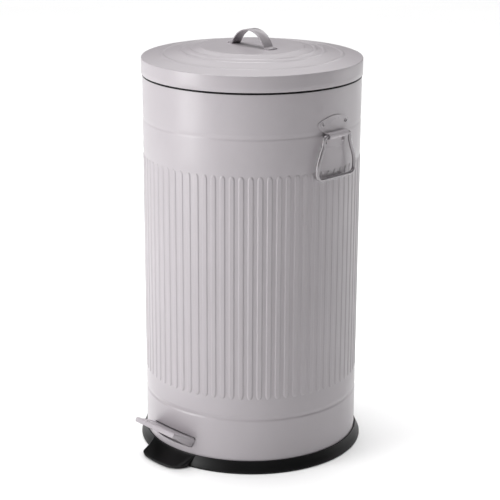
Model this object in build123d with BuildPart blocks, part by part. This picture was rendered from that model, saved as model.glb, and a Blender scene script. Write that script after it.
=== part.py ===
from build123d import *
import os
from math import asin, cos, degrees, radians, sin, sqrt, tan

# Pedal trash can: a rolled and ribbed painted steel body on a black plastic
# base, with a domed lid that a pedal lifts through a lever and a push rod.
# Frame: origin on the body's axis at the floor, +Z up, pedal towards -Y,
# lid hinge towards +Y, a carrying handle on each side just behind +X and -X.
# Millimetres.

os.makedirs("parts", exist_ok=True)

# ---------------------------------------------------------------- dimensions
# body
body_r = 150.0            # outside radius of the rolled body
sheet = 0.8               # sheet thickness of body and lid
body_bottom = 13.3
body_top = 525.3
groove_low = 76.6         # height of the lower rolled groove
groove_high = 467.0       # height of the upper rolled groove
groove_depth = 1.0
groove_half = 3.2
slot_bottom = 25.3        # pedal slot in the front wall, arched along the top
slot_crown = 44.7
slot_shoulder = 41.0
slot_half_bottom = 37.2
slot_half_top = 43.6

# base
base_r = 158.1
base_floor = 3.0
base_top = 16.6
ledge_z = 13.2
upstand_top = 22.0
lobe_half = 39.0

# rim and lid
trim_top = 527.5
skirt_bottom = 528.2
lid_r = 151.4
skirt_top = 548.7
crease_r = 149.6
crease_z = 550.25
plateau_r = 70.0
plateau_z = 563.55
bead_h = 0.8
lid_beads = ((123.1, 553.75), (97.9, 558.2), (86.0, 560.3))  # radius, height at the foot
strap_top = 586.8
strap_half_span = 33.2
strap_width = 17.0
strap_t = 1.5
foot_end = 42.6

# lid hinge and lifting gear
pin_y = 160.0
pin_z = 530.0
pin_r = 2.5
rod_r = 2.5
rod_x = 8.0
rod_y = 141.2
rod_pin_z = 515.0
rod_foot_z = 23.0
rod_foot_y = 34.0
arm_angle = 40.0

# pedal
tilt = 25.5               # slope of the tread
tread_z = 43.1            # tread surface height at the body wall
tread_half = 40.6
tread_len = 32.8
tread_t = 2.0
lip_depth = 6.6
neck_half = 33.0
pivot_y = -95.0
pivot_z = 14.0
axle_r = 3.0
lever_half = 12.0
lever_top = 20.2
lever_t = 2.0
lever_end = 43.6

# carrying handles
handle_turn = 3.5         # degrees that they stand behind the middle of the sides
bail_lean = 1.3           # the wire leans in against the body
plate_in = 150.1
plate_out = 151.3
curl_x = 155.0
curl_z = 465.0
curl_r = 4.6
curl_bore = 3.3
curl_half = 18.5
wire_r = 2.5

# inner bucket
bucket_top_r = 127.0
bucket_bot_r = 118.0
bucket_floor = 72.0
flange_r = 148.6
flange_z = 527.7
flange_t = 1.7
bucket_wall = 2.0


def radial(angle, r, z):
    """Plane on the can's side at an angle from +X, facing outwards."""
    a = radians(angle)
    return Plane(
        origin=(r * cos(a), r * sin(a), z),
        x_dir=(-sin(a), cos(a), 0),
        z_dir=(cos(a), sin(a), 0),
    )


BASE_UP = (Align.CENTER, Align.CENTER, Align.MIN)
BASE_DOWN = (Align.CENTER, Align.CENTER, Align.MAX)

handle_rivets_at = []
for half, z in ((22.7, 480.0), (17.4, 455.8)):
    for side in (-1, 1):
        handle_rivets_at.append((side * degrees(asin(half / 150.7)), z))

bracket_rivets_at = []
for z in (486.0, 508.0):
    for x in (-10.0, 10.0):
        bracket_rivets_at.append((90.0 - degrees(asin(x / 150.8)), z))

leaf_rivets_at = [(90.0 - degrees(asin(x / 152.0)), 535.0) for x in (-8.0, 8.0)]

# ---------------------------------------------------------------------- base
with BuildPart() as base:
    with BuildSketch(Plane.XZ):
        with BuildLine():
            Polyline(
                (0, 0), (157.2, 0), (base_r, 1.0), (base_r, 2.4), (156.6, 6.0),
                (154.4, 10.4), (152.8, 14.2), (151.9, base_top), (0, base_top), (0, 0),
            )
        make_face()
    revolve(axis=Axis.Z)
    # toe lobe under the pedal, flaring out in a hollow curve
    for z, r, w in (
        (0.0, 177.6, 38.8), (2.0, 180.0, 40.8), (4.6, 179.4, 41.4), (6.4, 174.6, 41.9),
        (8.4, 168.6, 42.5), (11.0, 162.2, 43.3), (13.8, 157.0, 44.3), (base_top, 152.7, 45.4),
    ):
        with BuildSketch(Plane.XY.offset(z)) as section:
            Circle(r)
            with Locations((0, -165)):
                Rectangle(2 * w, 70, mode=Mode.INTERSECT)
            corner = 26.0 - 1.45 * z
            fillet(section.vertices().sort_by(Axis.Y)[:2], corner)
    loft(ruled=True)
    # hollow above the floor, and the seat for the body's bottom edge
    with BuildSketch(Plane.XY.offset(base_floor)):
        Circle(146.6)
    extrude(amount=40, mode=Mode.SUBTRACT)
    with BuildSketch(Plane.XY.offset(ledge_z)):
        Circle(150.35)
        Circle(148.9, mode=Mode.SUBTRACT)
    extrude(amount=40, mode=Mode.SUBTRACT)
    with BuildSketch(Plane.XY.offset(base_floor)):
        Circle(148.9)
        Circle(146.6, mode=Mode.SUBTRACT)
    extrude(amount=upstand_top - base_floor)
    # gap in the upstand for the pedal's side cheeks
    with BuildSketch(Plane.XY.offset(8.0)):
        Circle(148.9)
        Circle(146.0, mode=Mode.SUBTRACT)
        with Locations((0, -150)):
            Rectangle(104, 60, mode=Mode.INTERSECT)
    extrude(amount=20, mode=Mode.SUBTRACT)
    # screw holes for the pedal bracket
    with Locations((0, pivot_y, base_floor)):
        with GridLocations(44, 16, 2, 2):
            Cylinder(1.78, 2.5, align=BASE_DOWN, mode=Mode.SUBTRACT)
base.part.label = "base"
export_step(base.part, "parts/base.step")

# ---------------------------------------------------------------- body shell
with BuildPart() as body_shell:
    with BuildSketch(Plane.XZ):
        side = [(body_r, body_bottom)]
        for g in (groove_low, groove_high):
            side += [
                (body_r, g - groove_half), (body_r - groove_depth, g - 0.8),
                (body_r - groove_depth, g + 0.8), (body_r, g + groove_half),
            ]
        side.append((body_r, body_top))
        with BuildLine():
            Polyline(*side, *[(r - sheet, z) for r, z in reversed(side)], close=True)
        make_face()
    revolve(axis=Axis.Z)
    # slot for the pedal
    with BuildSketch(Plane.XZ) as slot:
        with BuildLine():
            Polyline(
                (slot_half_top, slot_shoulder), (slot_half_bottom, slot_bottom),
                (-slot_half_bottom, slot_bottom), (-slot_half_top, slot_shoulder),
            )
            ThreePointArc(
                (-slot_half_top, slot_shoulder), (0, slot_crown), (slot_half_top, slot_shoulder)
            )
        make_face()
        fillet(slot.vertices().sort_by(Axis.Y)[:2], 1.6)
    extrude(amount=200, mode=Mode.SUBTRACT)
    # rivet holes for the carrying handles and the hinge bracket
    with Locations(*[radial(a + handle_turn, body_r, z) for a, z in handle_rivets_at]):
        Cylinder(1.65, 8, mode=Mode.SUBTRACT)
    with Locations(*[radial(180 - a - handle_turn, body_r, z) for a, z in handle_rivets_at]):
        Cylinder(1.65, 8, mode=Mode.SUBTRACT)
    with Locations(*[radial(a, body_r, z) for a, z in bracket_rivets_at]):
        Cylinder(1.65, 8, mode=Mode.SUBTRACT)
body_shell.part.label = "body_shell"
export_step(body_shell.part, "parts/body_shell.step")

# ------------------------------------------------------------------ rim trim
with BuildPart() as rim_trim:
    with BuildSketch(Plane.XZ):
        with BuildLine():
            Polyline(
                (147.4, 514.0), (149.0, 514.0), (149.0, body_top + 0.1),
                (150.4, body_top + 0.1), (150.4, trim_top), (147.4, trim_top), close=True,
            )
        make_face()
    revolve(axis=Axis.Z)
rim_trim.part.label = "rim_trim"
export_step(rim_trim.part, "parts/rim_trim.step")

# ----------------------------------------------------------------------- lid
cone_line = [(crease_r, crease_z), *lid_beads, (72.6, plateau_z - bead_h)]


def cone(r):
    """Height of the lid's shallow cone at a radius, without the beads."""
    for (r0, z0), (r1, z1) in zip(cone_line, cone_line[1:]):
        if r >= r1:
            break
    return z0 + (r0 - r) / (r0 - r1) * (z1 - z0)


lid_line = [(lid_r, skirt_bottom), (lid_r, skirt_top)]
lid_line += [(151.25, 549.35), (150.85, 549.85), (150.3, 550.12), (crease_r, crease_z)]
for r, _ in lid_beads:
    for dr, dz in ((3.7, 0.0), (1.3, bead_h), (-1.3, bead_h), (-3.7, 0.0)):
        lid_line.append((r + dr, cone(r + dr) + dz))
lid_line += [(72.6, plateau_z - bead_h), (plateau_r, plateau_z), (0, plateau_z)]
lid_under = [(lid_r - sheet, skirt_bottom), (lid_r - sheet, skirt_top - 0.1)]
lid_under += [(150.5, 548.95), (150.3, 549.2), (150.0, 549.35), (149.5, 549.45)]
lid_under += [(r, z - sheet) for r, z in lid_line[6:]]

with BuildPart() as lid:
    with BuildSketch(Plane.XZ):
        with BuildLine():
            Polyline(*lid_line, *reversed(lid_under), close=True)
        make_face()
    revolve(axis=Axis.Z)
    with Locations(*[radial(a, lid_r, z) for a, z in leaf_rivets_at]):
        Cylinder(1.65, 8, mode=Mode.SUBTRACT)
lid.part.label = "lid"
export_step(lid.part, "parts/lid.step")

# ----------------------------------------------------------- lid strap handle
rise = strap_top - plateau_z
strap_r = (strap_half_span**2 + rise**2) / (2 * rise)
with BuildPart() as lid_handle:
    with BuildSketch(Plane.XZ):
        with Locations((0, strap_top - strap_r)):
            Circle(strap_r)
            Circle(strap_r - strap_t, mode=Mode.SUBTRACT)
        with Locations((0, plateau_z)):
            Rectangle(100, 40, align=(Align.CENTER, Align.MIN), mode=Mode.INTERSECT)
        for s in (-1, 1):
            with Locations((s * (strap_half_span - 0.9 + foot_end) / 2, plateau_z)):
                Rectangle(
                    foot_end - strap_half_span + 0.9, strap_t,
                    align=(Align.CENTER, Align.MIN),
                )
    extrude(amount=strap_width / 2, both=True)
lid_handle.part.label = "lid_handle"
export_step(lid_handle.part, "parts/lid_handle.step")

# ------------------------------------------------------------ hinge, lid side
with BuildPart() as lid_hinge_leaf:
    with BuildSketch(Plane.XY.offset(528.3)):
        Circle(153.0)
        Circle(151.5, mode=Mode.SUBTRACT)
        with Locations((0, 150)):
            Rectangle(32.8, 30, mode=Mode.INTERSECT)
    extrude(amount=11.7)
    for x in (-16.0, 13.0):
        with BuildSketch(Plane.YZ.offset(x)):
            with BuildLine():
                Polyline(
                    (151.6, 528.4), (151.6, 539.6), (153.4, 539.6), (162.6, 534.8),
                    (160.0, 524.6), (158.0, 524.9), close=True,
                )
            make_face()
            with Locations((pin_y, pin_z)):
                Circle(5.5)
                Circle(pin_r + 0.06, mode=Mode.SUBTRACT)
        extrude(amount=3.0)
    with Locations(*[radial(a, 152.0, z) for a, z in leaf_rivets_at]):
        Cylinder(1.65, 6, mode=Mode.SUBTRACT)
lid_hinge_leaf.part.label = "lid_hinge_leaf"
export_step(lid_hinge_leaf.part, "parts/lid_hinge_leaf.step")

with BuildPart() as lid_leaf_rivets:
    for a, z in leaf_rivets_at:
        with Locations(radial(a, 149.7, z)):
            Cylinder(2.6, 0.85, align=BASE_UP)
            Cylinder(1.6, 4.0, align=BASE_UP)
        with Locations(radial(a, 153.03, z)):
            Cone(2.9, 2.5, 0.5, align=BASE_UP)
        with Locations(radial(a, 153.53, z)):
            Cone(2.5, 1.3, 0.7, align=BASE_UP)
lid_leaf_rivets.part.label = "lid_leaf_rivets"
export_step(lid_leaf_rivets.part, "parts/lid_leaf_rivets.step")

# ----------------------------------------------------------- hinge, body side
with BuildPart() as hinge_bracket:
    with BuildSketch(Plane.XY.offset(476.0)):
        Circle(151.6)
        Circle(150.1, mode=Mode.SUBTRACT)
        with Locations((0, 150)):
            Rectangle(42.6, 30, mode=Mode.INTERSECT)
    extrude(amount=45.8)
    for x in (-21.0, 18.0):
        with BuildSketch(Plane.YZ.offset(x)):
            with BuildLine():
                Polyline(
                    (149.7, 494.0), (149.7, 521.8), (156.1, 526.1), (160.0, 530.0),
                    (165.3, 528.6), (152.2, 494.0), close=True,
                )
            make_face()
            with Locations((pin_y, pin_z)):
                Circle(5.5)
                Circle(pin_r + 0.03, mode=Mode.SUBTRACT)
        extrude(amount=3.0)
    with Locations(*[radial(a, 150.8, z) for a, z in bracket_rivets_at]):
        Cylinder(1.65, 6, mode=Mode.SUBTRACT)
hinge_bracket.part.label = "hinge_bracket"
export_step(hinge_bracket.part, "parts/hinge_bracket.step")

with BuildPart() as hinge_bracket_rivets:
    for a, z in bracket_rivets_at:
        with Locations(radial(a, 148.3, z)):
            Cylinder(2.6, 0.85, align=BASE_UP)
            Cylinder(1.6, 4.0, align=BASE_UP)
        with Locations(radial(a, 151.63, z)):
            Cone(2.9, 2.5, 0.5, align=BASE_UP)
        with Locations(radial(a, 152.13, z)):
            Cone(2.5, 1.3, 0.7, align=BASE_UP)
hinge_bracket_rivets.part.label = "hinge_bracket_rivets"
export_step(hinge_bracket_rivets.part, "parts/hinge_bracket_rivets.step")

with BuildPart() as hinge_pin:
    with BuildSketch(Plane.YZ):
        with Locations((pin_y, pin_z)):
            Circle(pin_r)
    extrude(amount=23.5, both=True)
    chamfer(hinge_pin.edges().filter_by(GeomType.CIRCLE), 0.5)
hinge_pin.part.label = "hinge_pin"
export_step(hinge_pin.part, "parts/hinge_pin.step")

with BuildPart() as hinge_pin_clips:
    for x in (-22.3, 21.3):
        with BuildSketch(Plane.YZ.offset(x)):
            with Locations((pin_y, pin_z)):
                Circle(4.6)
                Circle(pin_r + 0.03, mode=Mode.SUBTRACT)
        extrude(amount=1.0)
hinge_pin_clips.part.label = "hinge_pin_clips"
export_step(hinge_pin_clips.part, "parts/hinge_pin_clips.step")

# ------------------------------------------------------------------ lift arm
# a plate under the lid whose straight edge rides on the push rod's bent end
ca, sa = cos(radians(arm_angle)), sin(radians(arm_angle))


def arm_point(rho, t):
    return (pin_y - rho * ca - t * sa, pin_z - rho * sa + t * ca)


def under_lid(y):
    return cone(y) - sheet - 0.35


with BuildPart() as lid_lift_arm:
    with BuildSketch(Plane.YZ):
        with BuildLine():
            Polyline(
                (100, under_lid(100)), (130, under_lid(130)),
                (130, under_lid(130) - 1.5), (100, under_lid(100) - 1.5), close=True,
            )
        make_face()
    extrude(amount=9.0, both=True)
    with BuildSketch(Plane.YZ):
        with BuildLine():
            Polyline(
                (104, under_lid(104) - 0.6), (130, under_lid(130) - 0.6), (144.8, 532.0),
                arm_point(16.0, 3.5), arm_point(28.0, 3.5), arm_point(28.0, -4.0),
                arm_point(31.0, -4.0), (132.6, 514.6), (131.0, 518.0), (130.8, 533.0),
                (112, 546.5), close=True,
            )
        make_face()
    extrude(amount=1.25, both=True)
lid_lift_arm.part.label = "lid_lift_arm"
export_step(lid_lift_arm.part, "parts/lid_lift_arm.step")

# ------------------------------------------------------------------ push rod
with BuildPart() as push_rod:
    with BuildLine() as rod_path:
        FilletPolyline(
            (rod_x, rod_foot_y, rod_foot_z), (rod_x, rod_y, rod_foot_z),
            (rod_x, rod_y, rod_pin_z), (-6.0, rod_y, rod_pin_z), radius=5.0,
        )
    with BuildSketch(Plane(origin=rod_path.line @ 0, z_dir=rod_path.line % 0)):
        Circle(rod_r)
    sweep()
push_rod.part.label = "push_rod"
export_step(push_rod.part, "parts/push_rod.step")


with BuildPart() as rod_guide_lower:
    with BuildSketch(Plane.XY.offset(108.0)):
        Circle(149.1)
        Circle(147.9, mode=Mode.SUBTRACT)
        with Locations((rod_x, 145)):
            Rectangle(16, 20, mode=Mode.INTERSECT)
    extrude(amount=24.0)
    with BuildSketch(Plane.XY.offset(119.0)):
        with Locations((rod_x, 142.2)):
            Rectangle(14, 12.2)
        with Locations((rod_x, rod_y)):
            Circle(rod_r + 0.35, mode=Mode.SUBTRACT)
    extrude(amount=2.0)
rod_guide_lower.part.label = "rod_guide_lower"
export_step(rod_guide_lower.part, "parts/rod_guide_lower.step")

with BuildPart() as rod_guide_upper:
    with BuildSketch(Plane.XY.offset(418.0)):
        Circle(149.1)
        Circle(147.9, mode=Mode.SUBTRACT)
        with Locations((rod_x, 145)):
            Rectangle(16, 20, mode=Mode.INTERSECT)
    extrude(amount=24.0)
    with BuildSketch(Plane.XY.offset(429.0)):
        with Locations((rod_x, 142.2)):
            Rectangle(14, 12.2)
        with Locations((rod_x, rod_y)):
            Circle(rod_r + 0.35, mode=Mode.SUBTRACT)
    extrude(amount=2.0)
rod_guide_upper.part.label = "rod_guide_upper"
export_step(rod_guide_upper.part, "parts/rod_guide_upper.step")

# ------------------------------------------------------------------- pedal
ct, st = cos(radians(tilt)), sin(radians(tilt))
# plane of the tread: origin where its surface meets the wall, local x across,
# local y outwards along the slope, normal up
tread_plane = Plane(
    origin=(0, -body_r, tread_z), x_dir=(-1, 0, 0), z_dir=(0, st, ct)
)


def tread_point(s, n):
    """Y and Z of a point s along the slope and n above the tread surface."""
    return (-body_r - s * ct + n * st, tread_z + s * st + n * ct)


def flare(s):
    """Half width of the tread, which widens towards the wall."""
    return tread_half + (tread_len - s) * 0.153


flange_plane = Plane(
    origin=(tread_half, *tread_point(tread_len, 0)),
    x_dir=Vector(flare(-6.4), *tread_point(-6.4, 0)) - Vector(tread_half, *tread_point(tread_len, 0)),
    z_dir=(0.8475, -0.326, -0.4187),
)


def flange_point(s, n):
    """Point of the leaning side flange's plane beside a tread point."""
    y, z = tread_point(s, n)
    o, d = flange_plane.origin, flange_plane.z_dir
    x = o.X - (d.Y * (y - o.Y) + d.Z * (z - o.Z)) / d.X
    p = flange_plane.to_local_coords(Vector(x, y, z))
    return (p.X, p.Y)


with BuildPart() as pedal_tread:
    with BuildSketch(tread_plane):
        with BuildLine():
            Polyline(
                (-flare(-14), -14), (-tread_half, tread_len), (tread_half, tread_len),
                (flare(-14), -14), close=True,
            )
        make_face()
    extrude(amount=-tread_t)
    # folded front lip
    with BuildSketch(tread_plane):
        with Locations((0, tread_len)):
            Rectangle(2 * tread_half, tread_t, align=(Align.CENTER, Align.MAX))
    extrude(amount=-lip_depth)
    # folded side flanges, deeper towards the wall and leaning in at the foot
    with BuildSketch(flange_plane):
        with BuildLine():
            Polyline(
                *[
                    flange_point(s, n)
                    for s, n in (
                        (tread_len, -0.3), (-14, -0.3), (-14, -10.0), (-9.5, -11.6),
                        (-6.5, -12.6), (-3, -12.6), (4, -11.7), (15, -9.2), (26, -6.8),
                        (tread_len, -6.4),
                    )
                ],
                close=True,
            )
        make_face()
    extrude(amount=-tread_t)
    mirror(about=Plane.YZ)
    # clear the curved wall, then add the tongue that passes the slot
    Cylinder(151.6, 400, mode=Mode.SUBTRACT)
    with BuildSketch(tread_plane):
        with Locations((0, 2.5)):
            Rectangle(2 * neck_half, 34, align=(Align.CENTER, Align.MAX))
    extrude(amount=-tread_t)
    # side cheeks of the tongue, inside the body
    for x in (-neck_half, neck_half - tread_t):
        with BuildSketch(Plane.YZ.offset(x)):
            with BuildLine():
                Polyline(
                    tread_point(-11.3, -0.3), tread_point(-29.0, -0.3),
                    (-125.5, 20.0), (-143.0, 20.0), close=True,
                )
            make_face()
        extrude(amount=tread_t)
    # curved apron between the cheeks, which closes the view through the slot
    with BuildSketch(Plane.XY.offset(20.0)):
        Circle(144.0)
        Circle(142.2, mode=Mode.SUBTRACT)
        with Locations((0, -147)):
            Rectangle(2 * neck_half, 30, mode=Mode.INTERSECT)
    extrude(amount=24.0)
    with BuildSketch(tread_plane):
        Rectangle(80, 90)
    extrude(amount=12, mode=Mode.SUBTRACT)
    with BuildSketch(tread_plane):
        with Locations((-7, -21), (7, -21)):
            Circle(2.05)
    extrude(amount=-10, both=True, mode=Mode.SUBTRACT)
pedal_tread.part.label = "pedal_tread"
export_step(pedal_tread.part, "parts/pedal_tread.step")

lever_front = tread_point(-12.0, -tread_t)
bend_y = lever_front[0] + (lever_front[1] - lever_top) / tan(radians(tilt))
with BuildPart() as pedal_lever:
    web = [lever_front, (bend_y, lever_top), (lever_end, lever_top)]
    web += [(lever_end, lever_top - lever_t), (bend_y - 0.47, lever_top - lever_t)]
    web += [tread_point(-12.0, -tread_t - lever_t)]
    with BuildSketch(Plane.YZ):
        with BuildLine():
            Polyline(*web, close=True)
        make_face()
    extrude(amount=lever_half, both=True)
    # folded side walls, deeper at the pivot
    for x in (-lever_half, lever_half - 2.0):
        with BuildSketch(Plane.YZ.offset(x)):
            with BuildLine():
                Polyline(
                    (bend_y, lever_top - 1), (36.0, lever_top - 1), (32.0, 14.0),
                    (pivot_y + 16, 12.0), (pivot_y + 6, 8.6), (pivot_y - 6, 8.6),
                    (bend_y, 15.0), close=True,
                )
            make_face()
            with Locations((pivot_y, pivot_z)):
                Circle(axle_r + 0.06, mode=Mode.SUBTRACT)
        extrude(amount=2.0)
    with BuildSketch(tread_plane):
        with Locations((-7, -21), (7, -21)):
            Circle(2.05)
    extrude(amount=-10, both=True, mode=Mode.SUBTRACT)
pedal_lever.part.label = "pedal_lever"
export_step(pedal_lever.part, "parts/pedal_lever.step")

with BuildPart() as pedal_rivets:
    for x in (-7, 7):
        y1, z1 = tread_point(-21, 0.03)
        head = Plane(origin=(x, y1, z1), x_dir=(-1, 0, 0), z_dir=(0, st, ct))
        y2, z2 = tread_point(-21, -4.03)
        tail = Plane(origin=(x, y2, z2), x_dir=(-1, 0, 0), z_dir=(0, st, ct))
        with Locations(tail):
            Cylinder(3.2, 0.9, align=BASE_DOWN)
            Cylinder(2.0, 4.3, align=BASE_UP)
        with Locations(head):
            Cone(3.6, 2.0, 1.4, align=BASE_UP)
pedal_rivets.part.label = "pedal_rivets"
export_step(pedal_rivets.part, "parts/pedal_rivets.step")

with BuildPart() as pedal_bracket:
    with BuildSketch(Plane.XY.offset(base_floor)):
        with Locations((0, pivot_y)):
            RectangleRounded(58, 30, 4)
            with GridLocations(44, 16, 2, 2):
                Circle(1.95, mode=Mode.SUBTRACT)
    extrude(amount=2.0)
    for x in (-15.2, 13.2):
        with BuildSketch(Plane.YZ.offset(x)):
            with BuildLine():
                Polyline(
                    (pivot_y - 10, base_floor), (pivot_y + 10, base_floor),
                    (pivot_y + 6.5, pivot_z), (pivot_y - 6.5, pivot_z), close=True,
                )
            make_face()
            with Locations((pivot_y, pivot_z)):
                Circle(6.5)
                Circle(axle_r + 0.03, mode=Mode.SUBTRACT)
        extrude(amount=2.0)
pedal_bracket.part.label = "pedal_bracket"
export_step(pedal_bracket.part, "parts/pedal_bracket.step")

with BuildPart() as bracket_screws:
    with Locations((0, pivot_y, base_floor + 2.05)):
        with GridLocations(44, 16, 2, 2):
            Cylinder(1.75, 4.2, align=BASE_DOWN)
            Cone(3.4, 2.4, 1.8, align=BASE_UP)
    with Locations((0, pivot_y, base_floor + 3.85)):
        with GridLocations(44, 16, 2, 2):
            Box(3.2, 0.8, 1.6, mode=Mode.SUBTRACT)
            Box(0.8, 3.2, 1.6, mode=Mode.SUBTRACT)
bracket_screws.part.label = "bracket_screws"
export_step(bracket_screws.part, "parts/bracket_screws.step")

with BuildPart() as pedal_axle:
    with BuildSketch(Plane.YZ):
        with Locations((pivot_y, pivot_z)):
            Circle(axle_r)
    extrude(amount=18.0, both=True)
    chamfer(pedal_axle.edges().filter_by(GeomType.CIRCLE), 0.6)
pedal_axle.part.label = "pedal_axle"
export_step(pedal_axle.part, "parts/pedal_axle.step")

with BuildPart() as axle_clips:
    for x in (-16.6, 15.6):
        with BuildSketch(Plane.YZ.offset(x)):
            with Locations((pivot_y, pivot_z)):
                Circle(5.4)
                Circle(axle_r + 0.03, mode=Mode.SUBTRACT)
        extrude(amount=1.0)
axle_clips.part.label = "axle_clips"
export_step(axle_clips.part, "parts/axle_clips.step")

# --------------------------------------------------------- carrying handles
with BuildPart() as right_handle_plate:
    with BuildSketch(Plane.XY.offset(440)):
        Circle(plate_out)
        Circle(plate_in, mode=Mode.SUBTRACT)
    extrude(amount=60)
    with BuildSketch(Plane.YZ) as outline:
        with BuildLine():
            ThreePointArc((-30, 482), (0, 490.5), (30, 482))
            Polyline(
                (30, 482), (30, 475.5), (19, 467), (19, 462.5), (21, 460.5), (21, 448),
                (-21, 448), (-21, 460.5), (-19, 462.5), (-19, 467), (-30, 475.5), (-30, 482),
            )
        make_face()
        fillet(outline.vertices().sort_by(Axis.Y)[:2], 4.0)
        fillet(outline.vertices().sort_by(Axis.Y)[-2:], 3.0)
    extrude(amount=200, mode=Mode.INTERSECT)
    # curl that wraps the handle wire
    with Locations((151.9, 0, curl_z)):
        Box(2.4, 2 * curl_half, 7.0)
    with BuildSketch(Plane.XZ):
        with Locations((curl_x, curl_z)):
            Circle(curl_r)
    extrude(amount=curl_half, both=True)
    with BuildSketch(Plane.XZ):
        with Locations((curl_x, curl_z)):
            Circle(curl_bore)
    extrude(amount=30, both=True, mode=Mode.SUBTRACT)
    with Locations(*[radial(a, 150.7, z) for a, z in handle_rivets_at]):
        Cylinder(1.65, 4, mode=Mode.SUBTRACT)
right_handle_plate_set = right_handle_plate.part.rotate(Axis.Z, handle_turn)
right_handle_plate_set.label = "right_handle_plate"
export_step(right_handle_plate_set, "parts/right_handle_plate.step")

with BuildPart() as left_handle_plate:
    mirror(right_handle_plate_set, about=Plane.YZ)
left_handle_plate.part.label = "left_handle_plate"
export_step(left_handle_plate.part, "parts/left_handle_plate.step")

with BuildPart() as right_handle_rivets:
    for a, z in handle_rivets_at:
        with Locations(radial(a, 148.3, z)):
            Cylinder(2.6, 0.85, align=BASE_UP)
            Cylinder(1.6, 3.6, align=BASE_UP)
        with Locations(radial(a, plate_out + 0.03, z)):
            Cone(2.7, 2.4, 0.6, align=BASE_UP)
        with Locations(radial(a, plate_out + 0.63, z)):
            Cone(2.4, 1.2, 1.0, align=BASE_UP)
right_handle_rivets_set = right_handle_rivets.part.rotate(Axis.Z, handle_turn)
right_handle_rivets_set.label = "right_handle_rivets"
export_step(right_handle_rivets_set, "parts/right_handle_rivets.step")

with BuildPart() as left_handle_rivets:
    mirror(right_handle_rivets_set, about=Plane.YZ)
left_handle_rivets.part.label = "left_handle_rivets"
export_step(left_handle_rivets.part, "parts/left_handle_rivets.step")

# bell-shaped wire handle; its two ends meet inside the curl
with BuildPart() as right_bail:
    with BuildLine(Plane.YZ.offset(curl_x)) as bail_path:
        FilletPolyline(
            (0.2, curl_z), (25.6, curl_z), (26.4, 453), (36.4, 429), (37.0, 407.6),
            (-37.0, 407.6), (-36.4, 429), (-26.4, 453), (-25.6, curl_z), (-0.2, curl_z),
            radius=[4.6, 24, 30, 9, 9, 30, 24, 4.6],
        )
    with BuildSketch(Plane(origin=bail_path.line @ 0, z_dir=bail_path.line % 0)):
        Circle(wire_r)
    sweep()
wire_axis = Axis((curl_x, 0, curl_z), (0, 1, 0))
right_bail_set = right_bail.part.rotate(wire_axis, bail_lean).rotate(Axis.Z, handle_turn)
right_bail_set.label = "right_bail"
export_step(right_bail_set, "parts/right_bail.step")

with BuildPart() as left_bail:
    mirror(right_bail_set, about=Plane.YZ)
left_bail.part.label = "left_bail"
export_step(left_bail.part, "parts/left_bail.step")

# ------------------------------------------------------------- inner bucket
with BuildPart() as inner_bucket:
    with BuildSketch(Plane.XZ):
        with BuildLine():
            Polyline(
                (0, bucket_floor), (bucket_bot_r - 3, bucket_floor),
                (bucket_bot_r, bucket_floor + 3), (bucket_top_r, flange_z),
                (flange_r, flange_z), (flange_r, flange_z + flange_t),
                (bucket_top_r - bucket_wall, flange_z + flange_t),
                (bucket_bot_r - bucket_wall, bucket_floor + 4.5),
                (bucket_bot_r - 4, bucket_floor + 2.5), (0, bucket_floor + 2.5), close=True,
            )
        make_face()
    revolve(axis=Axis.Z)
    # rear notch for the lifting gear
    with Locations((0, 143.5, flange_z)):
        Box(32, 32, 20, mode=Mode.SUBTRACT)
    # ears for the bucket's wire handle
    for s in (-1, 1):
        with BuildSketch(Plane.YZ.offset(s * 132.0)):
            with Locations((0, flange_z + flange_t)):
                Rectangle(16, 7, align=(Align.CENTER, Align.MIN))
            with Locations((0, 531.7)):
                Circle(2.15, mode=Mode.SUBTRACT)
        extrude(amount=1.5, both=True)
inner_bucket.part.label = "inner_bucket"
export_step(inner_bucket.part, "parts/inner_bucket.step")

with BuildPart() as bucket_bail:
    with BuildLine(Plane.XY.offset(531.7)) as hoop:
        Line((128, 0), (135, 0))
        ThreePointArc((135, 0), (135 + 5 * sqrt(0.5), -5 + 5 * sqrt(0.5)), (140, -5))
        ThreePointArc((140, -5), (0, -145), (-140, -5))
        ThreePointArc((-140, -5), (-135 - 5 * sqrt(0.5), -5 + 5 * sqrt(0.5)), (-135, 0))
        Line((-135, 0), (-128, 0))
    with BuildSketch(Plane(origin=(128, 0, 531.7), z_dir=(1, 0, 0))):
        Circle(2.0)
    sweep()
bucket_bail.part.label = "bucket_bail"
export_step(bucket_bail.part, "parts/bucket_bail.step")
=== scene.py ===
import math

import bmesh
import bpy
import numpy as np
from mathutils import Matrix, Vector


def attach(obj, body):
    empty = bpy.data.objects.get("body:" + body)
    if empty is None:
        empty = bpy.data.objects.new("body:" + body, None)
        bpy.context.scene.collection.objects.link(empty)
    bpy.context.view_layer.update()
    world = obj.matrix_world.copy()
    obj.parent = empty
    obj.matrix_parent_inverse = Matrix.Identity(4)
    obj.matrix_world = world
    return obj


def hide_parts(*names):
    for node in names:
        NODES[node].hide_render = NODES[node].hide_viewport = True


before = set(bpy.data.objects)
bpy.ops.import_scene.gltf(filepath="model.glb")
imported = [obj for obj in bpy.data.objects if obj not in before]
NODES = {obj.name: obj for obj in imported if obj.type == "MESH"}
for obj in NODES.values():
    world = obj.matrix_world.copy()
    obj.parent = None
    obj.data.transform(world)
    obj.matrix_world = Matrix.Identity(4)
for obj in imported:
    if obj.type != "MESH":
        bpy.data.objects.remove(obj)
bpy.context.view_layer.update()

MM = 0.001
scene = bpy.context.scene

# ------------------------------------------------------------------ materials


def principled(name):
    m = bpy.data.materials.new(name)
    m.use_nodes = True
    nt = m.node_tree
    return m, nt, nt.nodes["Principled BSDF"]


def node(nt, kind, **props):
    n = nt.nodes.new(kind)
    for k, v in props.items():
        setattr(n, k, v)
    return n


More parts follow.
